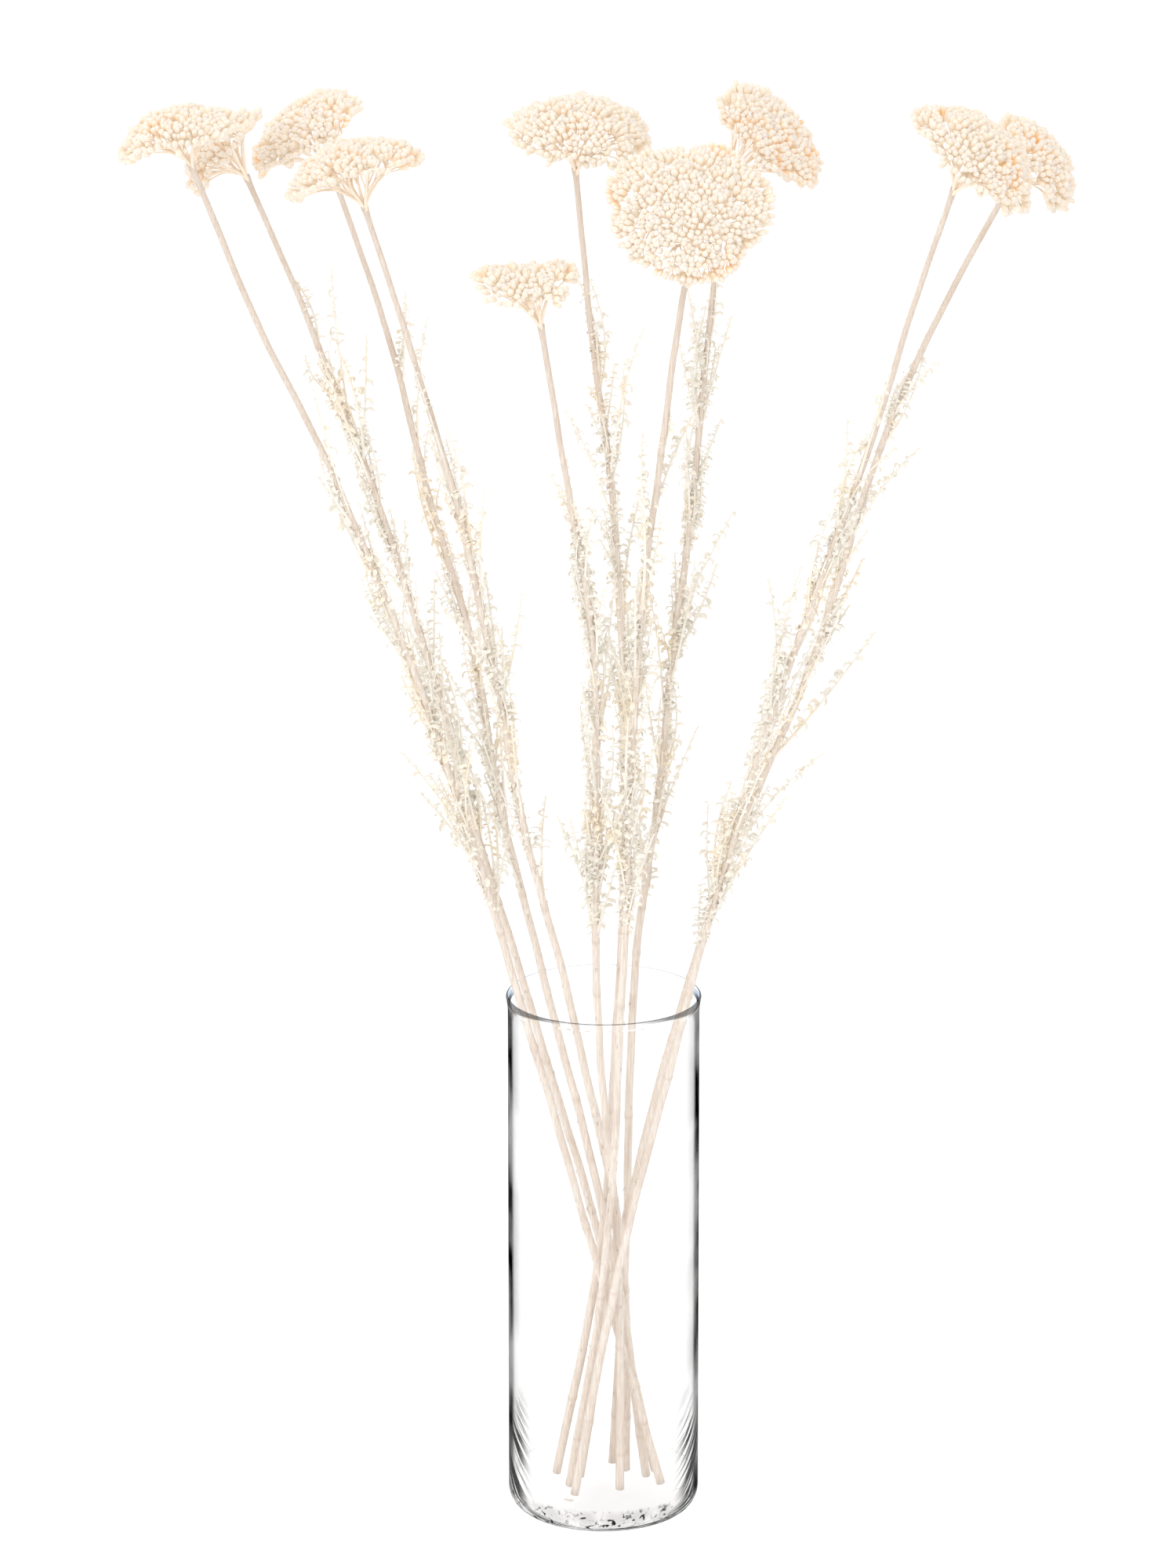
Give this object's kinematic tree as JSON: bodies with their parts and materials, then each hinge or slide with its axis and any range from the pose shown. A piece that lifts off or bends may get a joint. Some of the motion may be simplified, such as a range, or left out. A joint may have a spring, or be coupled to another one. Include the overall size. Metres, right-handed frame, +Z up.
{
  "type": "dried yarrow in a glass cylinder vase",
  "caption": "Dried cream yarrow stems with flat flower heads and curled feathery leaves, standing in a tall clear glass cylinder vase.",
  "frame": {"origin": "centre of the vase's underside", "axes": "+Z up along the axis of the vase, -Y towards the front of the arrangement, +X to the viewer's right"},
  "size_m": [0.4471, 0.1681, 0.7058],
  "materials": {
    "glass": "clear polished glass, darker where seen edge on",
    "dried_stalk": "matt dried stalk and leaf, ribbed, beige",
    "dried_floret": "matt dried florets, cream with tan depths"
  },
  "bodies": {
    "root": {"vase": "glass", "leafy_stem_1": "dried_stalk", "leafy_stem_2": "dried_stalk", "leafy_stem_3": "dried_stalk", "leafy_stem_4": "dried_stalk", "leafy_stem_5": "dried_stalk", "leafy_stem_6": "dried_stalk", "leafy_stem_7": "dried_stalk", "leafy_stem_8": "dried_stalk", "leafy_stem_9": "dried_stalk", "leafy_stem_10": "dried_stalk", "head_1": "dried_floret", "head_2": "dried_floret", "head_3": "dried_floret", "head_4": "dried_floret", "head_5": "dried_floret", "head_6": "dried_floret", "head_7": "dried_floret", "head_8": "dried_floret", "head_9": "dried_floret", "head_10": "dried_floret"}
  },
  "joints": []
}
